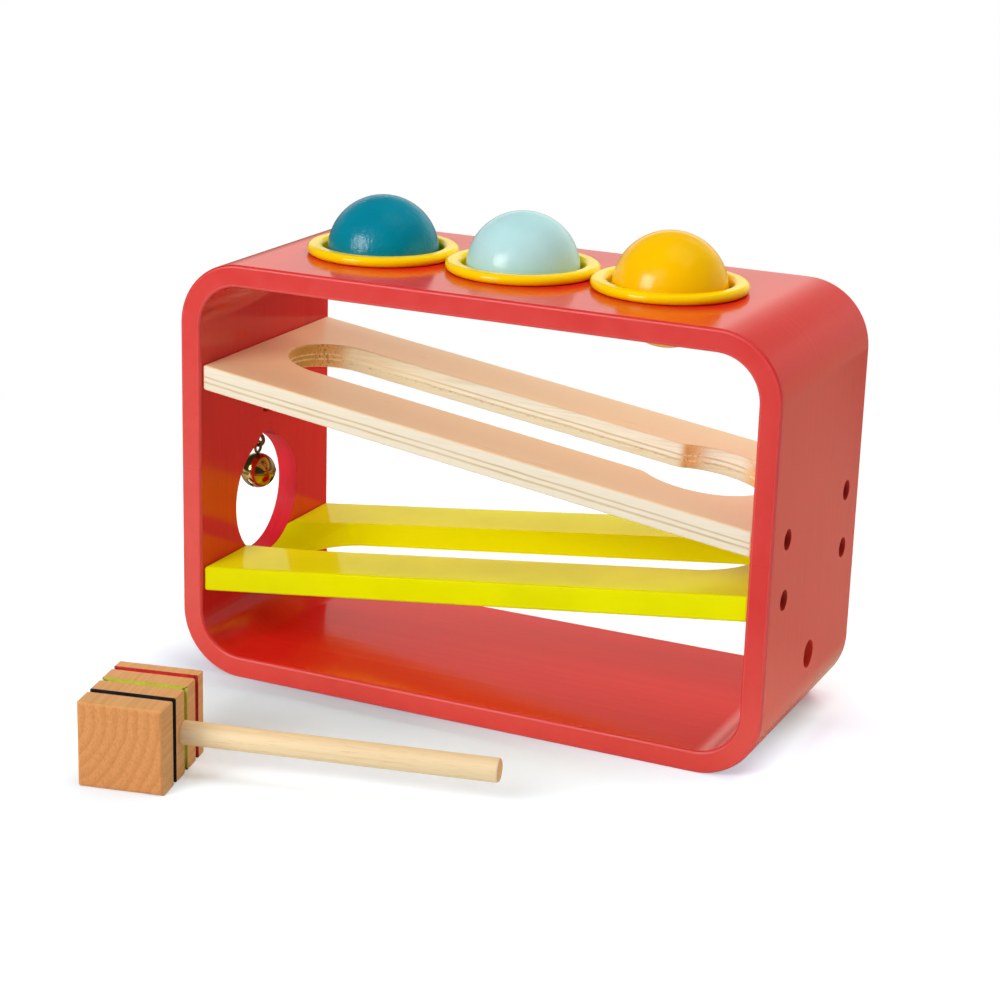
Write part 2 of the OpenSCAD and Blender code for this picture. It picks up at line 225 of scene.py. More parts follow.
def turned(profile, steps, closed=True):
    """A shape turned round Z from a profile of radius and height."""
    bm = bmesh.new()
    corners = [bm.verts.new((radius, 0, height)) for radius, height in profile]
    edges = [bm.edges.new(pair) for pair in zip(corners, corners[1:])]
    if closed:
        edges.append(bm.edges.new((corners[-1], corners[0])))
    bmesh.ops.spin(
        bm,
        geom=corners + edges,
        cent=(0, 0, 0),
        axis=(0, 0, 1),
        angle=math.tau,
        steps=steps,
        use_merge=True,
    )
    bmesh.ops.remove_doubles(bm, verts=bm.verts, dist=1e-7)
    bmesh.ops.recalc_face_normals(bm, faces=bm.faces)
    return bm


def round_edges(bm, edges, radius, segments, clamp=False):
    """Rounds edges, or chamfers them with a single segment."""
    bmesh.ops.bevel(
        bm,
        geom=edges,
        offset=radius,
        offset_type="OFFSET",
        affect="EDGES",
        segments=segments,
        profile=0.5,
        material=-1,
        clamp_overlap=clamp,
    )


def bar(radius, low, high, axis, centre, segments):
    """A closed round bar along an axis, used as a cutter."""
    bm = bmesh.new()
    place = Matrix.Translation(centre)
    if axis == "X":
        place = place @ Matrix.Rotation(math.pi / 2, 4, "Y")
    if axis == "Y":
        place = place @ Matrix.Rotation(-math.pi / 2, 4, "X")
    place = place @ Matrix.Translation((0, 0, (low + high) / 2))
    bmesh.ops.create_cone(
        bm,
        cap_ends=True,
        segments=segments,
        radius1=radius,
        radius2=radius,
        depth=high - low,
        matrix=place,
    )
    return bm


def as_object(name, bm):
    """Puts finished geometry into the scene."""
    mesh = bpy.data.meshes.new(name)
    bm.to_mesh(mesh)
    bm.free()
    made = bpy.data.objects.new(name, mesh)
    bpy.context.scene.collection.objects.link(made)
    return made


def carve(piece, cutters):
    """Cuts closed shapes out of a piece and takes the cutters away."""
    for cutter in cutters:
        cut = piece.modifiers.new("cut", "BOOLEAN")
        cut.operation = "DIFFERENCE"
        cut.solver = "EXACT"
        cut.object = cutter
    seen = piece.evaluated_get(bpy.context.evaluated_depsgraph_get())
    carved = bpy.data.meshes.new_from_object(seen)
    piece.modifiers.clear()
    piece.data = carved
    for cutter in cutters:
        bpy.data.objects.remove(cutter, do_unlink=True)


def ease(piece, chosen):
    """Rounds the sharp edges whose two ends pass a test."""
    sharp = math.radians(40)
    bm = bmesh.new()
    bm.from_mesh(piece.data)
    bmesh.ops.remove_doubles(bm, verts=bm.verts, dist=1e-6)
    edges = []
    for edge in bm.edges:
        if not edge.is_manifold or edge.calc_face_angle() < sharp:
            continue
        if all(chosen(corner.co) for corner in edge.verts):
            edges.append(edge)
    round_edges(bm, edges, EASE, 3, clamp=True)
    bm.to_mesh(piece.data)
    bm.free()


def shade(piece, angle):
    """Smooth shading that keeps the real corners crisp."""
    piece.data.shade_smooth()
    piece.data.set_sharp_from_angle(angle=math.radians(angle))


def even_shading(piece):
    """Keeps flat faces flat next to their rounded edges."""
    finish = piece.modifiers.new("even_shading", "WEIGHTED_NORMAL")
    finish.keep_sharp = True
    finish.weight = 50


def settle(piece, body, slot, finishes, *nodes):
    """Gives a piece its body and finishes, and hides the solids that it stands for."""
    for finish in finishes:
        piece.data.materials.append(finish)
    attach(piece, body)
    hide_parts(*nodes)


# Shader helpers


def new_finish(name, shine=0.5, metal=0.0):
    """A material with its tree and its surface shader."""
    finish = bpy.data.materials.new(name)
    finish.use_nodes = True
    tree = finish.node_tree
    surface = tree.nodes["Principled BSDF"]
    surface.inputs["Specular IOR Level"].default_value = shine
    surface.inputs["Metallic"].default_value = metal
    return finish, tree, surface


def coordinates(tree, source, scale, location=(0, 0, 0), rotation=(0, 0, 0), kind="POINT"):
    """A coordinate output put through a mapping."""
    start = tree.nodes.new("ShaderNodeTexCoord")
    mapping = tree.nodes.new("ShaderNodeMapping")
    mapping.vector_type = kind
    mapping.inputs["Location"].default_value = location
    mapping.inputs["Rotation"].default_value = rotation
    mapping.inputs["Scale"].default_value = scale
    tree.links.new(start.outputs[source], mapping.inputs["Vector"])
    return mapping.outputs["Vector"]


def scaled(tree, vector, scale):
    """A vector with its parts scaled."""
    mapping = tree.nodes.new("ShaderNodeMapping")
    mapping.inputs["Scale"].default_value = scale
    tree.links.new(vector, mapping.inputs["Vector"])
    return mapping.outputs["Vector"]


def sweep_coordinates(tree, scale):
    """Distance round the bend and distance across the veneer, from the frame's own map."""
    start = tree.nodes.new("ShaderNodeUVMap")
    start.uv_map = "sweep"
    return scaled(tree, start.outputs["UV"], scale)


def noise(tree, vector, detail=3.0, roughness=0.5):
    """A noise value."""
    made = tree.nodes.new("ShaderNodeTexNoise")
    made.inputs["Scale"].default_value = 1.0
    made.inputs["Detail"].default_value = detail
    made.inputs["Roughness"].default_value = roughness
    tree.links.new(vector, made.inputs["Vector"])
    return made.outputs["Fac"]


def grain(tree, scale, detail=3.0, roughness=0.5):
    """Noise drawn out along the part's own axes."""
    return noise(tree, coordinates(tree, "Object", scale), detail, roughness)


def spread(tree, value, low, high, new_low, new_high):
    """A value moved from one range to another."""
    made = tree.nodes.new("ShaderNodeMapRange")
    made.inputs["From Min"].default_value = low
    made.inputs["From Max"].default_value = high
    made.inputs["To Min"].default_value = new_low
    made.inputs["To Max"].default_value = new_high
    tree.links.new(value, made.inputs["Value"])
    return made.outputs["Result"]


def reckon(tree, operation, first, second):
    """One sum of two values, each a socket or a number."""
    made = tree.nodes.new("ShaderNodeMath")
    made.operation = operation
    for place, value in enumerate((first, second)):
        if isinstance(value, (int, float)):
            made.inputs[place].default_value = value
        else:
            tree.links.new(value, made.inputs[place])
    return made.outputs["Value"]


def times(tree, first, second):
    """The product of two values, each a socket or a number."""
    return reckon(tree, "MULTIPLY", first, second)


def mix_of(tree, first, second, share):
    """A share of one value with the rest of another."""
    return reckon(tree, "ADD", times(tree, first, share), times(tree, second, 1 - share))


def without_sign(tree, value):
    """How large a value is, above or below nothing."""
    return reckon(tree, "ABSOLUTE", value, 0)


def length_of(tree, first, second):
    """Distance from its two parts at right angles."""
    squared = reckon(tree, "ADD", reckon(tree, "POWER", first, 2), reckon(tree, "POWER", second, 2))
    return reckon(tree, "SQRT", squared, 0)


def part_of(tree, vector, axis):
    """One component of a vector."""
    made = tree.nodes.new("ShaderNodeSeparateXYZ")
    tree.links.new(vector, made.inputs["Vector"])
    return made.outputs[axis]


def own_place(tree, axis):
    """A point's place along one of the part's axes."""
    return part_of(tree, coordinates(tree, "Object", (1, 1, 1)), axis)


def own_facing(tree, axis):
    """How far a surface faces along one of the part's axes."""
    return part_of(tree, coordinates(tree, "Normal", (1, 1, 1)), axis)


def colours(tree, value, stops):
    """Colours along a value, as pairs of place and linear colour."""
    made = tree.nodes.new("ShaderNodeValToRGB")
    ramp = made.color_ramp
    while len(ramp.elements) < len(stops):
        ramp.elements.new(0.5)
    for element, (place, colour) in zip(ramp.elements, stops):
        element.position = place
        element.color = (*colour, 1)
    tree.links.new(value, made.inputs["Fac"])
    return made.outputs["Color"]


def shades(tree, value, dark, light):
    """A colour between two, by a noise value."""
    return colours(tree, value, [(NOISE_LOW, dark), (NOISE_HIGH, light)])


def blend_colours(tree, share, first, second):
    """Two colours mixed by a share, each a socket or a linear colour."""
    made = tree.nodes.new("ShaderNodeMix")
    made.data_type = "RGBA"
    tree.links.new(share, made.inputs["Factor"])
    for socket, value in ((made.inputs[6], first), (made.inputs[7], second)):
        if isinstance(value, tuple):
            socket.default_value = (*value, 1)
        else:
            tree.links.new(value, socket)
    return made.outputs[2]


def between(tree, share, first, second):
    """Two values mixed by a share, each a socket or a number."""
    made = tree.nodes.new("ShaderNodeMix")
    made.data_type = "FLOAT"
    tree.links.new(share, made.inputs["Factor"])
    for socket, value in ((made.inputs[2], first), (made.inputs[3], second)):
        if isinstance(value, (int, float)):
            socket.default_value = value
        else:
            tree.links.new(value, socket)
    return made.outputs[0]


def paint(tree, surface, colour):
    """Gives a surface its colour."""
    tree.links.new(colour, surface.inputs["Base Color"])


def gloss(tree, surface, value, smoothest, roughest):
    """Gives a surface a roughness that follows a noise value."""
    roughness = spread(tree, value, NOISE_LOW, NOISE_HIGH, smoothest, roughest)
    tree.links.new(roughness, surface.inputs["Roughness"])


def relief(tree, surface, height, strength, distance=0.3 * MM):
    """Fine relief on a surface."""
    made = tree.nodes.new("ShaderNodeBump")
    made.inputs["Strength"].default_value = strength
    made.inputs["Distance"].default_value = distance
    tree.links.new(height, made.inputs["Height"])
    tree.links.new(made.outputs["Normal"], surface.inputs["Normal"])


# Finishes


def red_lacquer():
    """Gloss red over veneer whose grain runs round the bends."""
    finish, tree, surface = new_finish("red_lacquer", shine=0.45)
    streaks = noise(tree, sweep_coordinates(tree, (14, 420, 1)), 3, 0.6)
    clouds = grain(tree, (9, 9, 9), 2)
    mixed = mix_of(tree, streaks, clouds, 0.6)
    paint(tree, surface, shades(tree, mixed, (0.66, 0.014, 0.008), (0.74, 0.019, 0.011)))
    gloss(tree, surface, streaks, 0.09, 0.17)
    relief(tree, surface, streaks, 0.07)
    return finish


def edge_red(name, roughest):
    """Thick red lacquer on the frame's cut edges, with the faint glue line of its two halves."""
    finish, tree, surface = new_finish(name, shine=1.0)
    brushed = grain(tree, (120, 120, 120), 3)
    red = shades(tree, brushed, (0.655, 0.020, 0.018), (0.685, 0.024, 0.021))
    height = own_place(tree, "Z")
    from_seam = without_sign(tree, reckon(tree, "SUBTRACT", height, SEAM_Z))
    glue_line = spread(tree, from_seam, 0.15 * MM, 0.35 * MM, 0.25, 0.0)
    red = blend_colours(tree, glue_line, red, (0.50, 0.012, 0.010))
    paint(tree, surface, red)
    gloss(tree, surface, brushed, roughest - 0.08, roughest)
    relief(tree, surface, brushed, 0.05)
    return finish


def bored_red():
    """Red lacquer soaked into the cut plies of a hole's wall."""
    finish, tree, surface = new_finish("bored_red", shine=0.15)
    plies = grain(tree, (1100, 90, 90), 4, 0.6)
    paint(tree, surface, shades(tree, plies, (0.70, 0.016, 0.030), (0.79, 0.026, 0.046)))
    gloss(tree, surface, plies, 0.42, 0.54)
    relief(tree, surface, plies, 0.12)
    return finish


def drilled_wood_and_shade():
    """Dark red plies inside a counterbore and in the mallet's hole, darker than the lacquer: partly the
    cut plies' own colour, partly painted shade in these holes.
    """
    finish, tree, surface = new_finish("drilled_wood_and_shade")
    plies = grain(tree, (800, 150, 150), 4, 0.6)
    paint(tree, surface, shades(tree, plies, (0.46, 0.020, 0.008), (0.68, 0.030, 0.012)))
    gloss(tree, surface, plies, 0.6, 0.8)
    relief(tree, surface, plies, 0.2)
    return finish


def ramp_side(tree, inside, outside):
    """One value in a ramp's openings and another along its sides."""
    outward = without_sign(tree, own_place(tree, "Y"))
    return spread(tree, outward, RAMP_MIDDLE, RAMP_STRIP, inside, outside)


def lime_lacquer():
    """Gloss lime over plywood, with painted light on the slot's upright walls."""
    finish, tree, surface = new_finish("lime_lacquer", shine=0.035)
    streaks = grain(tree, (20, 500, 500), 4, 0.6)
    clouds = grain(tree, (30, 30, 30), 2)
    lime = colours(tree, clouds, [(0.35, (0.715, 0.665, 0.0)), (0.65, (0.765, 0.715, 0.0))])
    upright = without_sign(tree, own_facing(tree, "Z"))
    # Painted light: the slot's upright walls get a lighter, greener lime that makes up for the shade and
    # the red bounce on them.
    in_slot = times(tree, ramp_side(tree, 1.0, 0.0), spread(tree, upright, 0.3, 0.6, 1.0, 0.0))
    paint(tree, surface, blend_colours(tree, in_slot, lime, (0.80, 0.83, 0.0)))
    gloss(tree, surface, streaks, 0.10, 0.18)
    relief(tree, surface, streaks, 0.06)
    return finish


def veneer_face():
    """Pale bare veneer, sanded smooth, with faint grain along the ramp."""
    finish, tree, surface = new_finish("veneer_face")
    streaks = grain(tree, (9, 260, 60), 6, 0.65)
    clouds = grain(tree, (16, 40, 16), 2)
    pores = grain(tree, (70, 2600, 90), 2)
    mixed = mix_of(tree, streaks, clouds, 0.5)
    wood = shades(tree, mixed, (0.94, 0.73, 0.41), (0.955, 0.75, 0.43))
    specks = spread(tree, pores, 0.62, 0.80, 0.0, 0.06)
    paint(tree, surface, blend_colours(tree, specks, wood, (0.74, 0.48, 0.23)))
    gloss(tree, surface, streaks, 0.27, 0.31)
    relief(tree, surface, streaks, 0.004)
    return finish


def ply_depth(tree):
    """Share of the upper ramp's thickness below its top face, with a waver in the glue lines."""
    flat = coordinates(
        tree, "Object", (1, 1, 1), location=(0, 0, UPPER_Z), rotation=(0, UPPER_FALL, 0), kind="TEXTURE"
    )
    depth = reckon(tree, "DIVIDE", part_of(tree, flat, "Z"), -RAMP_T)
    waver = grain(tree, (28, 28, 90), 3)
    return reckon(tree, "ADD", depth, spread(tree, waver, 0.2, 0.8, -0.035, 0.035))


def banded(tree, depth, long_ply, cross_ply, face_ply):
    """Three thick plies with two thin crossed ones between them, and thin face veneers."""
    stops = [
        (0.00, face_ply),
        (0.09, long_ply),
        (0.39, long_ply),
        (0.43, cross_ply),
        (0.46, cross_ply),
        (0.49, long_ply),
        (0.60, long_ply),
        (0.64, cross_ply),
        (0.68, cross_ply),
        (0.72, long_ply),
        (0.93, long_ply),
        (1.00, face_ply),
    ]
    return colours(tree, depth, stops)


def veneer_edge():
    """Plies seen from the side: pale along the grain, golden and pored across it."""
    finish, tree, surface = new_finish("veneer_edge")
    depth = ply_depth(tree)
    cream = (0.81, 0.70, 0.545)
    plies = banded(tree, depth, cream, (0.60, 0.42, 0.21), (0.84, 0.68, 0.48))
    outer = ramp_side(tree, 0.0, 1.0)
    broken = grain(tree, (40, 40, 60), 3)
    faded = spread(tree, broken, 0.35, 0.65, 0.3, 0.0)
    sides = blend_colours(tree, faded, plies, cream)
    in_slot = banded(tree, depth, (0.89, 0.91, 0.79), (0.66, 0.53, 0.31), (0.90, 0.86, 0.70))
    # Painted light: towards the slot's left end its walls turn a lighter golden cream, standing in for the
    # light that the shade there takes away.
    slot_end_painted_light = spread(tree, own_place(tree, "X"), -0.075, -0.030, 0.8, 0.0)
    in_slot = blend_colours(tree, slot_end_painted_light, in_slot, (0.99, 0.88, 0.56))
    sides = blend_colours(tree, outer, in_slot, sides)
    low_plies = spread(tree, depth, 0.55, 0.75, 0.0, 1.0)
    golden = times(tree, low_plies, spread(tree, outer, 0.0, 1.0, 0.5, 0.1))
    sides = blend_colours(tree, golden, sides, (0.74, 0.68, 0.43))
    streaks = grain(tree, (40, 40, 1300), 5, 0.65)
    sides = blend_colours(tree, spread(tree, streaks, 0.48, 0.75, 0.0, 0.6), sides, (0.72, 0.58, 0.38))
    dashes = grain(tree, (420, 420, 1900), 2)
    from_ply = without_sign(tree, reckon(tree, "SUBTRACT", depth, 0.68))
    in_ply = spread(tree, from_ply, 0.0, 0.10, 1.0, 0.0)
    marks = times(tree, spread(tree, dashes, 0.54, 0.68, 0.0, 0.8), in_ply)
    marks = times(tree, marks, spread(tree, outer, 0.0, 1.0, 1.0, 0.25))
    sides = blend_colours(tree, marks, sides, (0.44, 0.25, 0.08))
    pores = grain(tree, (1100, 1100, 800), 2)
    across = reckon(tree, "POWER", own_facing(tree, "X"), 2)
    slanted = banded(tree, depth, (0.84, 0.50, 0.20), (0.93, 0.72, 0.42), (0.87, 0.60, 0.28))
    square = banded(tree, depth, (0.67, 0.36, 0.080), (0.91, 0.68, 0.35), (0.84, 0.54, 0.21))
    ends = blend_colours(tree, spread(tree, across, 0.35, 0.85, 0.0, 1.0), slanted, square)
    turning = times(tree, across, spread(tree, across, 0.45, 0.75, 1.0, 0.25))
    pitted = times(tree, spread(tree, pores, 0.50, 0.62, 0.0, 1.8), turning)
    bitten = times(tree, across, spread(tree, pores, NOISE_LOW, NOISE_HIGH, 1.8, 0.4))
    wood = blend_colours(tree, spread(tree, bitten, 0.06, 0.26, 0.0, 1.0), sides, ends)
    paint(tree, surface, blend_colours(tree, pitted, wood, (0.45, 0.19, 0.035)))
    gloss(tree, surface, pores, 0.45, 0.6)
    relief(tree, surface, pores, 0.15, 0.2 * MM)
    return finish


def ring_rubber():
    """Smooth yellow soft plastic."""
    finish, tree, surface = new_finish("ring_rubber", shine=0.42)
    skin = grain(tree, (700, 700, 700), 3)
    clouds = grain(tree, (60, 60, 60), 2)
    paint(tree, surface, shades(tree, clouds, (0.97, 0.64, 0.0), (0.99, 0.69, 0.0)))
    gloss(tree, surface, skin, 0.09, 0.14)
    relief(tree, surface, skin, 0.04, 0.2 * MM)
    return finish


def ball_paint(name, dark, light, roughness, bumps, shine):
    """Paint on a turned ball, with the grain just showing in the gloss."""
    finish, tree, surface = new_finish(name, shine=shine)
    streaks = grain(tree, (560, 560, 330), 3, 0.55)
    clouds = grain(tree, (50, 50, 50), 2)
    paint(tree, surface, shades(tree, clouds, dark, light))
    gloss(tree, surface, streaks, roughness - 0.04, roughness + 0.05)
    relief(tree, surface, streaks, bumps, 0.4 * MM)
    return finish


def brass_sheet():
    """Pressed brass with a fine burnished sheen, darker than bright brass: partly tarnish, partly painted
    shade for the bell that hangs in the frame's shade.
    """
    finish, tree, surface = new_finish("brass_sheet", metal=1.0)
    rubbed = grain(tree, (900, 900, 2400), 4, 0.6)
    tarnish_and_shade = grain(tree, (220, 220, 220), 3)
    paint(tree, surface, shades(tree, tarnish_and_shade, (0.38, 0.23, 0.07), (0.56, 0.38, 0.14)))
    gloss(tree, surface, rubbed, 0.10, 0.20)
    relief(tree, surface, rubbed, 0.05, 0.2 * MM)
    return finish


def metal_finish(name, dark, light, low, high):
    """Small turned or plated steel parts."""
    finish, tree, surface = new_finish(name, metal=1.0)
    rubbed = grain(tree, (1500, 1500, 1500), 4, 0.6)
    paint(tree, surface, shades(tree, rubbed, dark, light))
    gloss(tree, surface, rubbed, low, high)
    relief(tree, surface, rubbed, 0.06, 0.2 * MM)
    return finish


def mallet_coordinates(tree, scale):
    """Coordinates of the mallet from its head's middle: X along the handle, Y along the head, Z up."""
    start = coordinates(
        tree, "Object", (1, 1, 1), location=tuple(MALLET_AT), rotation=(0, 0, MALLET_TURN), kind="TEXTURE"
    )
    return scaled(tree, start, scale)


def mallet_grain(tree, scale, detail=3.0, roughness=0.5):
    """Noise drawn out along the mallet's own axes."""
    return noise(tree, mallet_coordinates(tree, scale), detail, roughness)


def growth_rings(tree, pith_x, pith_z, pitch):
    """A wave that rises and falls with each year's growth round the pith."""
    vector = mallet_coordinates(tree, (1, 1, 1))
    sideways = reckon(tree, "SUBTRACT", part_of(tree, vector, "X"), pith_x)
    upward = reckon(tree, "SUBTRACT", part_of(tree, vector, "Z"), pith_z)
    away = length_of(tree, sideways, upward)
    waver = mallet_grain(tree, (55, 6, 55), 3)
    away = reckon(tree, "ADD", away, spread(tree, waver, 0, 1, -0.6 * pitch, 0.6 * pitch))
    return reckon(tree, "FRACT", reckon(tree, "DIVIDE", away, pitch), 0)


def beech_head():
    """Oiled beech: growth bands and pores on the orange ends, paler straight grain on the sides."""
    finish, tree, surface = new_finish("beech_head", shine=0.2)
    pale = (0.68, 0.287, 0.092)
    rings = growth_rings(tree, -34 * MM, 13 * MM, 4.2 * MM)
    ends = colours(tree, rings, [(0.0, pale), (0.3, pale), (0.85, (0.60, 0.238, 0.071)), (1.0, pale)])
    pores = mallet_grain(tree, (1700, 150, 900), 3)
    ends = blend_colours(tree, spread(tree, pores, 0.48, 0.68, 0.0, 0.45), ends, (0.45, 0.167, 0.046))
    streaks = mallet_grain(tree, (600, 22, 600), 5, 0.62)
    sides = colours(tree, streaks, [(0.35, (0.73, 0.375, 0.135)), (0.7, (0.62, 0.295, 0.09))])
    facing = coordinates(tree, "Normal", (1, 1, 1), rotation=(0, 0, -MALLET_TURN))
    end_on = reckon(tree, "POWER", part_of(tree, facing, "Y"), 2)
    wood = blend_colours(tree, spread(tree, end_on, 0.3, 0.8, 0.0, 1.0), sides, ends)
    paint(tree, surface, wood)
    gloss(tree, surface, streaks, 0.40, 0.52)
    relief(tree, surface, streaks, 0.12)
    return finish


def handle_wood():
    """Pale turned handle with fine straight grain along its length."""
    finish, tree, surface = new_finish("handle_wood")
    streaks = mallet_grain(tree, (16, 800, 800), 5, 0.62)
    broad = mallet_grain(tree, (9, 160, 160), 3)
    stops = [(0.3, (0.77, 0.52, 0.26)), (0.5, (0.85, 0.63, 0.36)), (0.72, (0.89, 0.70, 0.43))]
    wood = colours(tree, mix_of(tree, streaks, broad, 0.6), stops)
    flecks = mallet_grain(tree, (120, 1800, 1800), 2)
    share = spread(tree, flecks, 0.58, 0.74, 0.0, 0.45)
    paint(tree, surface, blend_colours(tree, share, wood, (0.60, 0.35, 0.13)))
    gloss(tree, surface, streaks, 0.32, 0.42)
    relief(tree, surface, streaks, 0.12)
    return finish


def handle_end_grain():
    """Tan pored end of the handle."""
    finish, tree, surface = new_finish("handle_end_grain", shine=0.3)
    pores = mallet_grain(tree, (300, 1500, 1500), 3)
    stops = [(0.35, (0.72, 0.38, 0.15)), (0.65, (0.90, 0.55, 0.25))]
    paint(tree, surface, colours(tree, pores, stops))
    gloss(tree, surface, pores, 0.5, 0.65)
    relief(tree, surface, pores, 0.15)
    return finish


def kerf_paint(name, dark, light):
    """Paint brushed into a kerf of the mallet's head."""
    finish, tree, surface = new_finish(name)
    brushed = mallet_grain(tree, (500, 900, 500), 4, 0.6)
    paint(tree, surface, colours(tree, brushed, [(0.35, dark), (0.7, light)]))
    gloss(tree, surface, brushed, 0.4, 0.6)
    relief(tree, surface, brushed, 0.2)
    return finish


def dowel_wood():
    """Pale hidden dowels."""
    finish, tree, surface = new_finish("dowel_wood")
    streaks = grain(tree, (800, 800, 40), 5, 0.6)
    paint(tree, surface, shades(tree, streaks, (0.58, 0.38, 0.19), (0.74, 0.54, 0.31)))
    gloss(tree, surface, streaks, 0.5, 0.65)
    relief(tree, surface, streaks, 0.1)
    return finish


# Frame


def round_the_bend(x, z):
    """Distance round the frame's bends from the middle of its top or underside."""
    straight = HALF_L - BEND_R
    bend = BEND_R - WALL / 2
    rise = FRAME_H - 2 * BEND_R
    out = abs(x) - straight
    if z < BEND_R:
        if out <= 0:
            return abs(x)
        return straight + bend * math.atan2(out, BEND_R - z)
    if z <= FRAME_H - BEND_R:
        return straight + bend * math.pi / 2 + z - BEND_R
    if out <= 0:
        return straight * 2 + bend * math.pi + rise - abs(x)
    turn = math.atan2(z - FRAME_H + BEND_R, out)
    return straight + bend * math.pi / 2 + rise + bend * turn


def map_sweep(piece):
    """Writes the frame's own map: round the bend, and across."""
    layer = piece.data.uv_layers.new(name="sweep")
    for loop in piece.data.loops:
        at = piece.data.vertices[loop.vertex_index].co
        layer.data[loop.index].uv = (round_the_bend(at.x, at.z), at.y)


def bent_ring():
    """The closed ring of bent plywood, before its holes."""
    bm = bmesh.new()
    places = [(-HALF_L, 0), (HALF_L, 0), (HALF_L, FRAME_H), (-HALF_L, FRAME_H)]
    corners = [bm.verts.new((x, -HALF_W, z)) for x, z in places]
    bm.faces.new(corners)
    bmesh.ops.bevel(
        bm,
        geom=corners,
        offset=BEND_R,
        affect="VERTICES",
        segments=BEND_STEPS,
        profile=0.5,
        material=-1,
    )
    middle = bm.faces[:]
    bmesh.ops.inset_region(bm, faces=middle, thickness=WALL, use_even_offset=True, use_boundary=True)
    bmesh.ops.delete(bm, geom=middle, context="FACES")
    pulled = bmesh.ops.extrude_face_region(bm, geom=bm.faces[:])
    bmesh.ops.translate(bm, verts=bm_verts(pulled), vec=(0, 2 * HALF_W, 0))
    bmesh.ops.recalc_face_normals(bm, faces=bm.faces)
    rims = [edge for edge in bm.edges if edge.calc_face_angle(0) > math.radians(80)]
    round_edges(bm, rims, FRAME_ROUND, 4)
    return bm


def ramp_end_height(top_z, fall, x):
    """Height of the middle of a ramp's thickness where it meets a wall."""
    return top_z - math.tan(fall) * x - RAMP_T / 2 / math.cos(fall)


def counterbores():
    """Middle of each screw's counterbore on the outer face of its wall."""
    bores = []
    ramps = (("upper_ramp_screws", UPPER_Z, UPPER_FALL), ("lower_ramp_screws", LOWER_Z, LOWER_FALL))
    for name, top_z, fall in ramps:
        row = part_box(name)[1].y - SCREW_HEAD_R
        for side in (-1, 1):
            height = ramp_end_height(top_z, fall, side * WALL_X)
            for across in (-row, row):
                bores.append(Vector((side * HALF_L, across, height)))
    return bores


def frame_cutters(bores):
    """Every hole through or into the frame."""
    cutters = []
    through_top = (FRAME_H - WALL - OVERCUT, FRAME_H + OVERCUT)
    for name in RINGS:
        low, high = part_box(name)
        centre = ((low.x + high.x) / 2, 0, 0)
        cutters.append(bar(SLEEVE_R + SLEEVE_ROOM, *through_top, "Z", centre, 96))
    through = (-HALF_L - OVERCUT, -INNER_X + OVERCUT)
    cutters.append(bar(EXIT_R, *through, "X", (0, 0, EXIT_Z), 96))
    cutters.append(bar(NOTCH_R, *through, "X", (0, 0, NOTCH_Z), 64))
    cutters.append(bar(CROSS_R, *through, "X", (0, 0, CROSS_Z), 48))
    cutters.append(bar(MALLET_HOLE_R, INNER_X - OVERCUT, HALF_L + OVERCUT, "X", (0, 0, MALLET_HOLE_Z), 64))
    for bore in bores:
        side = math.copysign(1, bore.x)
        reach = sorted((side * (HALF_L - COUNTERBORE_DEPTH), side * (HALF_L + OVERCUT)))
        cutters.append(bar(COUNTERBORE_R, *reach, "X", (0, bore.y, bore.z), 40))
    return [as_object("cutter", bm) for bm in cutters]


def on_frame_face(at):
    """True on the flat faces of the walls and of the top."""
    on_wall = min(abs(abs(at.x) - HALF_L), abs(abs(at.x) - INNER_X)) < TINY
    on_top = min(abs(at.z - FRAME_H), abs(at.z - FRAME_H + WALL)) < TINY
    return (on_wall or on_top) and abs(at.y) < HALF_W - 2 * FRAME_ROUND


def in_counterbore(at, bores):
    """True for a face inside one of the screws' counterbores."""
    depth = HALF_L - abs(at.x)
    if not PAST_EASE < depth < COUNTERBORE_DEPTH + SLACK:
        return False
    for bore in bores:
        off_axis = math.dist((at.y, at.z), (bore.y, bore.z))
        if at.x * bore.x > 0 and off_axis < COUNTERBORE_R + SLACK:
            return True
    return False


def on_cut_edge(face):
    """True on the flat front and back edges of the frame."""
    return abs(face.normal.y) > 0.95 and abs(face.center.y) > HALF_W - FLAT


def on_rim(face):
    """True on the rounding of the frame's front and back edges."""
    return abs(face.normal.y) > 0.1 and abs(face.center.y) > HALF_W - FRAME_ROUND


def in_bore(face):
    """True on the wall of a hole through a side wall."""
    at = face.center
    between_faces = INNER_X + PAST_EASE < abs(at.x) < HALF_L - PAST_EASE
    on_upright = BEND_R < at.z < FRAME_H - BEND_R and abs(at.y) < HALF_W - 2 * FRAME_ROUND
    return between_faces and on_upright and abs(face.normal.x) < 0.5


def frame_finish(face, bores):
    """Place of a face's finish in the frame's list."""
    if in_counterbore(face.center, bores):
        return DRILLED_AND_SHADED
    if in_bore(face):
        # The mallet's hole takes the darker red as painted shade inside it.
        return BORED if face.center.x < 0 else DRILLED_AND_SHADED
    if on_cut_edge(face):
        return EDGE
    return RIM if on_rim(face) else LACQUER


def make_frame():
    """The red frame, both halves as one lacquered ring."""
    shell = as_object("frame_shell", bent_ring())
    bores = counterbores()
    carve(shell, frame_cutters(bores))
    ease(shell, on_frame_face)
    for face in shell.data.polygons:
        face.material_index = frame_finish(face, bores)
    map_sweep(shell)
    shade(shell, 40)
    even_shading(shell)
    finishes = [red_lacquer(), drilled_wood_and_shade(), bored_red()]
    finishes += [edge_red("edge_red", 0.26), edge_red("rim_red", 0.48)]
    settle(shell, "frame", "red_lacquer", finishes, "frame_top", "frame_base")


# Rings and balls


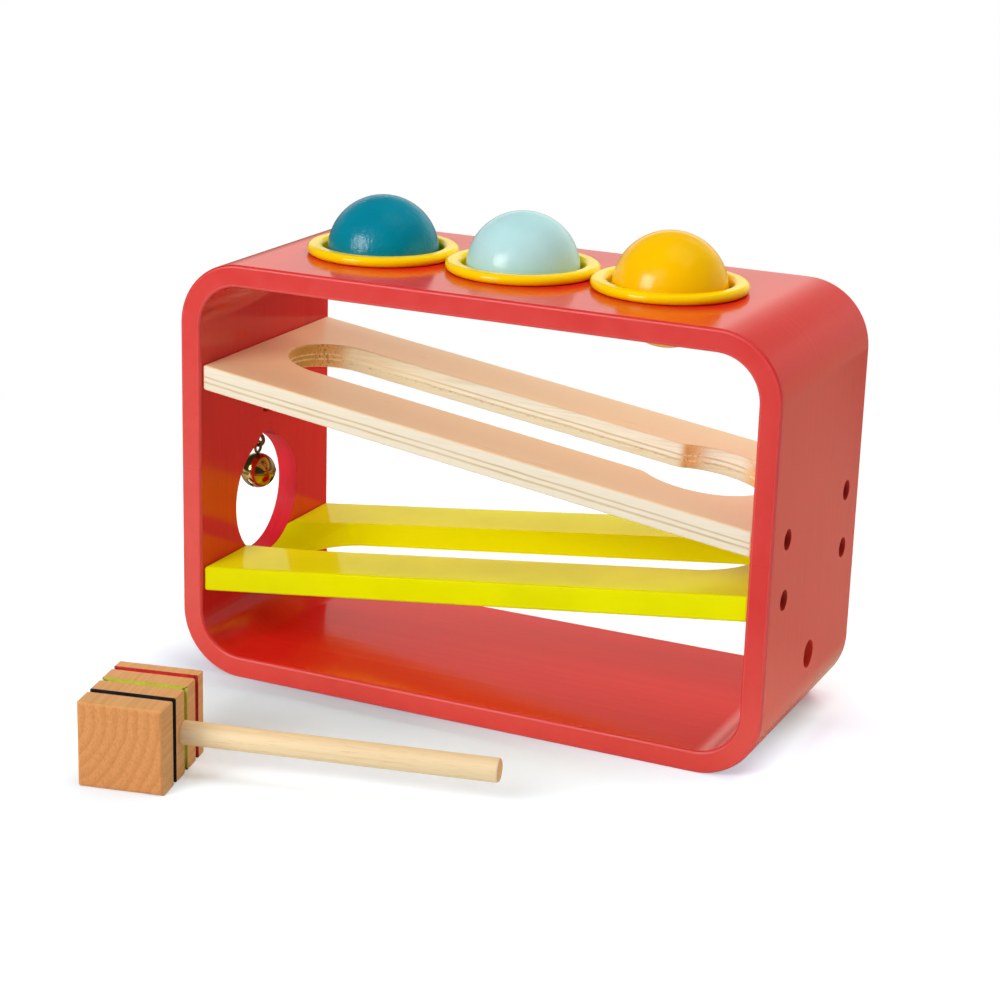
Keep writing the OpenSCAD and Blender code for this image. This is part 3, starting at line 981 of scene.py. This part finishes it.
def make_ring(name, finish):
    """A soft ring with a rounded flange, a sleeve, a foot under the top and an inner lip."""
    low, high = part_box(name)
    middle = (low.x + high.x) / 2
    seat_low, seat_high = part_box(name.replace("ring", "ball"))
    round_r = FLANGE_H / 2
    flange_z = FRAME_H + round_r
    lip_x = BALL_R - LIP_BITE + LIP_R
    lip_z = (seat_low.z + seat_high.z) / 2 - math.sqrt((BALL_R + LIP_R + LIP_GAP) ** 2 - lip_x**2)
    lip_turn = math.degrees(math.acos((MOUTH_R - lip_x) / LIP_R))
    profile = arc((FLANGE_R - round_r, flange_z), round_r, -90, 90, 14)
    profile += arc((MOUTH_R + round_r, flange_z), round_r, 90, 180, 8)
    profile += arc((lip_x, lip_z), LIP_R, lip_turn, 360 - lip_turn, 12)
    profile += [(MOUTH_R, low.z), (FOOT_R - FOOT_ROUND, low.z)]
    profile += arc((FOOT_R - FOOT_ROUND, low.z + FOOT_ROUND), FOOT_ROUND, -90, 90, 6)
    profile += [(SLEEVE_R, low.z + FOOT_H), (SLEEVE_R, FRAME_H)]
    bm = turned(without_repeats(profile), 128)
    bmesh.ops.translate(bm, verts=bm.verts, vec=(middle, 0, 0))
    ring = as_object(name + "_soft", bm)
    shade(ring, 50)
    settle(ring, "frame", "ring_yellow", [finish], name)


def make_ball(name, body, slot, finish):
    """A turned ball."""
    low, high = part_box(name)
    bm = bmesh.new()
    bmesh.ops.create_uvsphere(bm, u_segments=128, v_segments=64, radius=BALL_R)
    bmesh.ops.translate(bm, verts=bm.verts, vec=(low + high) / 2)
    ball = as_object(name + "_painted", bm)
    shade(ball, 60)
    settle(ball, body, slot, [finish], name)


def make_rings_and_balls():
    """Three rings and three balls."""
    rubber = ring_rubber()
    for name in RINGS:
        make_ring(name, rubber)
    teal = ball_paint("teal_paint", (0.0, 0.205, 0.29), (0.0, 0.235, 0.33), 0.19, 0.75, 0.45)
    aqua = ball_paint("aqua_paint", (0.44, 0.70, 0.71), (0.48, 0.75, 0.75), 0.20, 0.25, 0.45)
    yellow = ball_paint("yellow_paint", (0.95, 0.51, 0.0), (0.98, 0.55, 0.0), 0.16, 0.12, 0.40)
    make_ball("ball_left", "left_ball", "ball_teal", teal)
    make_ball("ball_middle", "middle_ball", "ball_aqua", aqua)
    make_ball("ball_right", "right_ball", "ball_yellow", yellow)


# Ramps


def upper_opening():
    """Outline of the upper slot, which widens into the drop hole."""
    reach = DROP_R + DROP_BLEND
    blend_y = SLOT_R + DROP_BLEND
    blend_x = DROP_X - math.sqrt(reach**2 - blend_y**2)
    touch = math.degrees(math.atan2(blend_y, blend_x - DROP_X))
    outline = arc((UPPER_SLOT_LEFT, 0), SLOT_R, 90, 270, 48)
    outline += arc((blend_x, -blend_y), DROP_BLEND, 90, 180 - touch, 10)
    outline += arc((DROP_X, 0), DROP_R, -touch, touch, 72)
    outline += arc((blend_x, blend_y), DROP_BLEND, touch - 180, -90, 10)
    return outline


def lower_opening():
    """Outline of the lower slot."""
    outline = arc((LOWER_SLOT_LEFT, 0), SLOT_R, 90, 270, 48)
    outline += arc((LOWER_SLOT_RIGHT, 0), SLOT_R, -90, 90, 48)
    return outline


def ramp_place(top_z, fall):
    """Where a ramp's own flat frame stands."""
    return Matrix.Translation((0, 0, top_z)) @ Matrix.Rotation(fall, 4, "Y")


def ramp_blank(place):
    """A sloping board cut upright at both walls, with eased edges."""
    reach = INNER_X * 1.1
    outline = [(-reach, -RAMP_W / 2), (reach, -RAMP_W / 2), (reach, RAMP_W / 2), (-reach, RAMP_W / 2)]
    bm = slab(outline, -RAMP_T, 0)
    bmesh.ops.transform(bm, matrix=place, verts=bm.verts)
    for side in (-1, 1):
        parts = bm.verts[:] + bm.edges[:] + bm.faces[:]
        cut = bmesh.ops.bisect_plane(
            bm, geom=parts, plane_co=(side * INNER_X, 0, 0), plane_no=(side, 0, 0), clear_outer=True
        )
        rim = [part for part in cut["geom_cut"] if isinstance(part, bmesh.types.BMEdge)]
        bmesh.ops.edgeloop_fill(bm, edges=rim)
    bmesh.ops.recalc_face_normals(bm, faces=bm.faces)
    round_edges(bm, bm.edges[:], RAMP_ROUND, 4)
    return bm


def make_ramp(name, place, cutters, slot, finishes):
    """One ramp with its openings and their eased rims."""
    board = as_object(name + "_board", ramp_blank(place))
    carve(board, cutters)
    back = place.inverted()

    def on_a_face(at):
        depth = (back @ at).z
        inside = abs(at.y) < RAMP_W / 2 - 2 * RAMP_ROUND
        return inside and min(abs(depth), abs(depth + RAMP_T)) < TINY

    ease(board, on_a_face)
    if len(finishes) > 1:
        up = place.to_3x3() @ Vector((0, 0, 1))
        for face in board.data.polygons:
            face.material_index = 0 if abs(face.normal.dot(up)) > 0.75 else 1
    shade(board, 40)
    even_shading(board)
    settle(board, "frame", slot, finishes, name)


def ramp_cutter(outline, place):
    """A cutter for an opening through a ramp."""
    bm = slab(outline, -2 * RAMP_T, RAMP_T)
    bmesh.ops.transform(bm, matrix=place, verts=bm.verts)
    return as_object("cutter", bm)


def make_ramps():
    """The bare upper ramp and the lime lower ramp."""
    place = ramp_place(UPPER_Z, UPPER_FALL)
    cutters = [ramp_cutter(upper_opening(), place)]
    make_ramp("upper_ramp", place, cutters, "bare_plywood", [veneer_face(), veneer_edge()])
    place = ramp_place(LOWER_Z, LOWER_FALL)
    groove = bar(EXIT_R, -HALF_L, GROOVE_END, "X", (0, 0, EXIT_Z), 96)
    cutters = [ramp_cutter(lower_opening(), place), as_object("cutter", groove)]
    make_ramp("lower_ramp", place, cutters, "lime_lacquer", [lime_lacquer()])


# Bell


def bell_half(up):
    """One pressed half of the bell with its share of the seam's rim, about the bell's middle."""
    edge_r = BELL_RIM_H / 2
    inside = BELL_R - BELL_T
    rim_turn = math.degrees(math.asin(BELL_RIM_H / BELL_R))
    inner_end = math.degrees(math.acos(STEM_HOLE_R / inside)) if up else 90
    outer_end = math.degrees(math.acos(STEM_HOLE_R / BELL_R)) if up else 90
    profile = arc((0, 0), inside, inner_end, 0, 24)
    profile += arc((BELL_R + BELL_RIM - edge_r, edge_r), edge_r, -90, 90, 8)
    profile += arc((0, 0), BELL_R, rim_turn, outer_end, 24)
    bm = turned(profile, 96, closed=up)
    if not up:
        bmesh.ops.scale(bm, vec=(1, 1, -1), verts=bm.verts)
        bmesh.ops.recalc_face_normals(bm, faces=bm.faces)
    bmesh.ops.translate(bm, verts=bm.verts, vec=(-WALL_X, 0, BELL_Z))
    return bm


def bell_slots():
    """Two crossed slots in the bell's lower half, each ending in round holes."""
    reach = 2 * BELL_R
    thin = BELL_SLOT / 2
    cutters = []
    for along, across in ((reach, thin), (thin, reach)):
        outline = [(-along, -across), (along, -across), (along, across), (-along, across)]
        outline = [(x - WALL_X, y) for x, y in outline]
        cutters.append(slab(outline, BELL_Z - reach, BELL_Z - BELL_SLOT_TOP))
    for axis in ("X", "Y"):
        centre = (-WALL_X, 0, BELL_Z - BELL_SLOT_TOP)
        cutters.append(bar(BELL_SLOT, -reach, reach, axis, centre, 40))
    return [as_object("cutter", bm) for bm in cutters]


def paint_node(name, finish):
    """Gives a solid that is kept as it is its finish."""
    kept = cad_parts[name].data
    kept.materials.clear()
    kept.materials.append(finish)


def make_bell():
    """The pressed bell in its two halves, with its wire loop and its pellet."""
    brass = brass_sheet()
    crown = as_object("bell_crown_pressed", bell_half(True))
    cup = as_object("bell_cup_pressed", bell_half(False))
    carve(cup, bell_slots())
    for half, node in ((crown, "bell_crown"), (cup, "bell_cup")):
        shade(half, 35)
        settle(half, "bell", "bell_brass", [brass], node)
    wire = metal_finish("loop_wire", (0.16, 0.10, 0.045), (0.32, 0.21, 0.09), 0.22, 0.36)
    steel = metal_finish("pellet_steel", (0.20, 0.19, 0.18), (0.42, 0.41, 0.40), 0.3, 0.5)
    paint_node("bell_loop", wire)
    paint_node("bell_pellet", steel)


def make_small_metal():
    """Screws, eye bolt, nut and the hidden dowels."""
    black = metal_finish("screw_black", (0.012, 0.009, 0.007), (0.035, 0.026, 0.02), 0.35, 0.55)
    bronze = metal_finish("eye_bronze", (0.10, 0.065, 0.03), (0.22, 0.14, 0.06), 0.25, 0.4)
    zinc = metal_finish("zinc_plate", (0.45, 0.45, 0.44), (0.68, 0.68, 0.66), 0.18, 0.32)
    paint_node("upper_ramp_screws", black)
    paint_node("lower_ramp_screws", black)
    paint_node("bell_eye_bolt", bronze)
    paint_node("bell_nut", zinc)
    paint_node("frame_dowels", dowel_wood())


# Mallet


def mallet_place():
    """The mallet's own frame: X along the handle, Y along the head."""
    return Matrix.Translation(MALLET_AT) @ Matrix.Rotation(MALLET_TURN, 4, "Z")


def make_mallet_head():
    """A square block with chamfered striking faces and three painted kerfs."""
    bm = bmesh.new()
    bmesh.ops.create_cube(bm, size=1)
    bmesh.ops.scale(bm, vec=(HEAD_W, HEAD_L, HEAD_W), verts=bm.verts)
    ends = [edge for edge in bm.edges if abs(edge.verts[0].co.y - edge.verts[1].co.y) < HEAD_L / 2]
    round_edges(bm, ends, HEAD_CHAMFER, 1)
    corners = [edge for edge in bm.edges if edge.calc_face_angle(0) > math.radians(30)]
    round_edges(bm, corners, EASE, 3)
    for index in (-1, 0, 1):
        for side in (-1, 1):
            at = KERF_SHIFT + index * KERF_PITCH + side * KERF_W / 2
            parts = bm.verts[:] + bm.edges[:] + bm.faces[:]
            bmesh.ops.bisect_plane(bm, geom=parts, plane_co=(0, at, 0), plane_no=(0, 1, 0))
    for index in (-1, 0, 1):
        middle = KERF_SHIFT + index * KERF_PITCH
        band = [face for face in bm.faces if abs(face.calc_center_median().y - middle) < KERF_W / 2]
        made = bmesh.ops.inset_region(
            bm, faces=band, thickness=0.0, depth=-KERF_DEPTH, use_even_offset=True, use_boundary=True
        )
        for face in band + made["faces"]:
            face.material_index = index + 2
    bmesh.ops.recalc_face_normals(bm, faces=bm.faces)
    bmesh.ops.transform(bm, matrix=mallet_place(), verts=bm.verts)
    head = as_object("mallet_head_block", bm)
    shade(head, 35)
    even_shading(head)
    navy = kerf_paint("kerf_navy", (0.008, 0.008, 0.014), (0.02, 0.02, 0.035))
    lime = kerf_paint("kerf_lime", (0.50, 0.50, 0.05), (0.62, 0.62, 0.08))
    red = kerf_paint("kerf_red", (0.52, 0.02, 0.02), (0.68, 0.045, 0.038))
    settle(head, "mallet", "beech", [beech_head(), navy, lime, red], "mallet_head")


def make_mallet_handle():
    """A turned handle with an eased end, glued into the side of the head."""
    start = HEAD_W / 2 - HANDLE_SOCKET
    end = HEAD_W / 2 + HANDLE_L
    profile = [(0, start), (HANDLE_R, start)]
    profile += arc((HANDLE_R - HANDLE_ROUND, end - HANDLE_ROUND), HANDLE_ROUND, 0, 90, 8)
    profile += [(0, end)]
    bm = turned(profile, 64, closed=False)
    place = mallet_place() @ Matrix.Rotation(math.pi / 2, 4, "Y")
    bmesh.ops.transform(bm, matrix=place, verts=bm.verts)
    handle = as_object("mallet_handle_turned", bm)
    along = place.to_3x3() @ Vector((0, 0, 1))
    for face in handle.data.polygons:
        face.material_index = 1 if abs(face.normal.dot(along)) > 0.7 else 0
    shade(handle, 40)
    settle(handle, "mallet", "beech", [handle_wood(), handle_end_grain()], "mallet_handle")


# Camera, floor and light


def make_camera():
    """The photograph's point of view."""
    lens = bpy.data.cameras.new("camera")
    lens.lens = CAMERA_LENS
    lens.sensor_width = CAMERA_SENSOR
    camera = bpy.data.objects.new("camera", lens)
    turn = Matrix.Rotation(CAMERA_TURN, 4, "Z")
    tilt = Matrix.Rotation(CAMERA_TILT, 4, "X")
    roll = Matrix.Rotation(CAMERA_ROLL, 4, "Z")
    camera.matrix_world = Matrix.Translation(CAMERA_AT) @ turn @ tilt @ roll
    bpy.context.scene.collection.objects.link(camera)
    bpy.context.scene.camera = camera


def ray_kinds(tree):
    """Whether a ray comes from the camera, from gloss, or from the camera or something clear."""
    rays = tree.nodes.new("ShaderNodeLightPath")
    camera = rays.outputs["Is Camera Ray"]
    seen = reckon(tree, "MAXIMUM", camera, rays.outputs["Is Transmission Ray"])
    return camera, rays.outputs["Is Glossy Ray"], seen


def floor_in_mirrors(tree, sideways, depthwise):
    """What glossy pieces show of the floor: less of it behind the toy and before its right half."""
    beyond = reckon(tree, "MINIMUM", depthwise, 0.65)
    slanted = reckon(tree, "SUBTRACT", sideways, times(tree, beyond, 0.38))
    behind = spread(tree, slanted, 0.03, 0.08, FLOOR_BEHIND, FLOOR_BESIDE)
    ahead = spread(tree, depthwise, -0.75, -0.20, FLOOR_AHEAD, 1.0)
    to_right = spread(tree, sideways, -0.05, 0.03, 1.0, FLOOR_AHEAD)
    to_right = between(tree, spread(tree, depthwise, -0.2, -0.1, 0.0, 1.0), to_right, 1.0)
    ahead = times(tree, ahead, to_right)
    share = between(tree, spread(tree, depthwise, -0.10, 0.10, 0.0, 1.0), ahead, behind)
    return blend_colours(tree, share, BLACK, FLOOR_TINT)


def floor_paper(tree, sideways, depthwise, by_mallet, camera):
    """The floor's pale colour, with painted shade near the frame seen only by the eye, and a bluer patch
    by the mallet that cancels the warm light bounced there.
    """
    off_side = reckon(tree, "SUBTRACT", without_sign(tree, sideways), HALF_L)
    past_side = reckon(tree, "MAXIMUM", off_side, 0)
    past_front = reckon(tree, "MAXIMUM", reckon(tree, "SUBTRACT", -HALF_W, depthwise), 0)
    # Painted shade: darker, bluer paper near the frame's front, for the eye only.
    painted_shade = spread(tree, length_of(tree, past_side, past_front), 0.0, 0.075, 1.0, 0.0)
    painted_shade = times(tree, painted_shade, spread(tree, sideways, -0.03, 0.09, 1.0, 0.4))
    painted_shade = times(tree, painted_shade, spread(tree, depthwise, 0.02, HALF_W, 1.0, 0.0))
    painted_shade = times(tree, painted_shade, camera)
    paper = blend_colours(tree, by_mallet, FLOOR_PAPER, FLOOR_BY_MALLET)
    return blend_colours(tree, painted_shade, paper, FLOOR_PAINTED_SHADE)


def floor_painted_lifts(tree, sideways, depthwise, by_mallet):
    """Pairs of tint and strength by which the floor is whiter to the eye: an even lift, with painted light
    that lightens the shadows left of the frame, under the handle, before the frame's right half and along
    the right wall's foot, and less of it as painted shade before the frame's left half.
    """
    in_front = spread(tree, depthwise, -0.03, 0.02, 1.0, 0.0)
    cleared = spread(tree, sideways, -0.15, -0.085, 0.36, 0.0)
    off_mallet = spread(tree, by_mallet, 0, 1, 1, 0)
    shaded = times(tree, spread(tree, sideways, -0.02, 0.03, 0.10, 0.0), off_mallet)
    raised = times(tree, in_front, reckon(tree, "SUBTRACT", cleared, shaded))
    under_handle = times(tree, by_mallet, spread(tree, sideways, -0.05, 0.02, 0.01, 0.11))
    raised = reckon(tree, "ADD", raised, reckon(tree, "ADD", under_handle, FLOOR_LIFT))
    blued = times(tree, in_front, spread(tree, sideways, 0.03, 0.125, 0.0, 0.36))
    beside = spread(tree, sideways, 0.125, 0.132, 0.15, 0.0)
    beside = times(tree, beside, spread(tree, depthwise, -0.045, -0.005, 0.0, 1.0))
    beside = times(tree, beside, spread(tree, depthwise, 0.028, 0.042, 1.0, 0.0))
    return [(WHITE, raised), ((0.65, 0.85, 1.0), blued), ((0.55, 1.0, 0.85), beside)]


def lifted(tree, near, tint, strength):
    """A shader with some light of its own added."""
    lift = tree.nodes.new("ShaderNodeEmission")
    lift.inputs["Color"].default_value = (*tint, 1.0)
    tree.links.new(strength, lift.inputs["Strength"])
    both = tree.nodes.new("ShaderNodeAddShader")
    tree.links.new(near, both.inputs[0])
    tree.links.new(lift.outputs["Emission"], both.inputs[1])
    return both.outputs["Shader"]


def make_floor():
    """A wide white floor that keeps the shadows, with painted light and painted shade laid over them near
    the toy, and goes to plain white further off.
    """
    bm = bmesh.new()
    bmesh.ops.create_grid(bm, x_segments=2, y_segments=2, size=6)
    floor = as_object("floor", bm)
    finish, tree, surface = new_finish("floor_white", shine=0.0)
    surface.inputs["Roughness"].default_value = 0.9
    camera, glossy, seen = ray_kinds(tree)
    across = coordinates(tree, "Object", (1, 1, 1))
    sideways = part_of(tree, across, "X")
    depthwise = part_of(tree, across, "Y")
    by_mallet = spread(tree, depthwise, -0.115, -0.085, 1.0, 0.0)
    in_mirror = floor_in_mirrors(tree, sideways, depthwise)
    paper = floor_paper(tree, sideways, depthwise, by_mallet, camera)
    paint(tree, surface, blend_colours(tree, glossy, paper, in_mirror))
    near = surface.outputs["BSDF"]
    for tint, strength in floor_painted_lifts(tree, sideways, depthwise, by_mallet):
        near = lifted(tree, near, tint, times(tree, camera, strength))
    away = tree.nodes.new("ShaderNodeVectorMath")
    away.operation = "LENGTH"
    tree.links.new(across, away.inputs[0])
    far = spread(tree, away.outputs["Value"], 0.16, 0.52, 0.0, 1.0)
    plain = tree.nodes.new("ShaderNodeEmission")
    tree.links.new(blend_colours(tree, glossy, WHITE, in_mirror), plain.inputs["Color"])
    both = tree.nodes.new("ShaderNodeMixShader")
    tree.links.new(times(tree, far, reckon(tree, "MAXIMUM", seen, glossy)), both.inputs["Fac"])
    tree.links.new(near, both.inputs[1])
    tree.links.new(plain.outputs["Emission"], both.inputs[2])
    tree.links.new(both.outputs["Shader"], tree.nodes["Material Output"].inputs["Surface"])
    floor.data.materials.append(finish)


def make_lamp(name, place, size, power, glint=False):
    """A square soft lamp aimed at the toy."""
    lamp = bpy.data.lights.new(name, "AREA")
    lamp.shape = "SQUARE"
    lamp.size = size
    lamp.energy = power
    holder = bpy.data.objects.new(name, lamp)
    holder.visible_glossy = glint
    aim = Vector(LAMP_TARGET) - Vector(place)
    holder.matrix_world = Matrix.Translation(place) @ aim.to_track_quat("-Z", "Y").to_matrix().to_4x4()
    bpy.context.scene.collection.objects.link(holder)


def make_world():
    """A room with a bright white backdrop low down behind the toy, white to the eye."""
    world = bpy.data.worlds.new("studio")
    bpy.context.scene.world = world
    world.use_nodes = True
    tree = world.node_tree
    ground = tree.nodes["Background"]
    toward = coordinates(tree, "Object", (1, 1, 1))
    sideways = part_of(tree, toward, "X")
    depthwise = part_of(tree, toward, "Y")
    height = part_of(tree, toward, "Z")
    low = spread(tree, height, 0.35, 0.65, 1.0, 0.0)
    after = times(tree, low, spread(tree, depthwise, 0.2, 0.7, 0.0, ROOM_BACK))
    falling = reckon(tree, "ADD", after, ROOM_EVEN)
    behind = spread(tree, depthwise, 0.3, 0.8, 0.0, 1.0)
    backdrop = times(tree, behind, spread(tree, height, 0.25, 0.45, 1.0, 0.0))
    low_down = spread(tree, sideways, -0.1, 0.15, MIRROR_LOW, 1.0)
    low_down = between(tree, spread(tree, height, 0.03, 0.2, 0, 1), low_down, 1.0)
    backdrop = times(tree, backdrop, low_down)
    backdrop = times(tree, backdrop, spread(tree, sideways, -0.15, 0.2, 1.0, MIRROR_SIDE))
    backdrop = times(tree, backdrop, spread(tree, sideways, 0.3, 0.6, 1.0, MIRROR_SIDE))
    mirrored = spread(tree, backdrop, 0.0, 1.0, MIRROR_DIM, MIRROR_BACK)
    glossy, seen = ray_kinds(tree)[1:]
    tree.links.new(blend_colours(tree, glossy, WHITE, MIRROR_TINT), ground.inputs["Color"])
    light = between(tree, glossy, falling, mirrored)
    tree.links.new(between(tree, seen, light, 1.0), ground.inputs["Strength"])


def make_light():
    """A lamp before the toy, broad soft ones without a glint, and the white room."""
    make_lamp("front_lamp", (-0.675, -1.384, 0.72), 0.7, KEY_POWER, glint=True)
    make_lamp("fill_lamp", (-0.15, -1.366, 1.080), 0.8, FILL_POWER)
    make_lamp("back_lamp", (0.15, 1.45, 0.95), 0.8, BACK_POWER)
    make_lamp("overhead_lamp", (0.50, 0.12, 1.70), 1.2, OVERHEAD_POWER)
    make_world()


bpy.context.scene.view_settings.view_transform = "Standard"
make_camera()
make_frame()
make_rings_and_balls()
make_ramps()
make_bell()
make_small_metal()
make_mallet_head()
make_mallet_handle()
make_floor()
make_light()
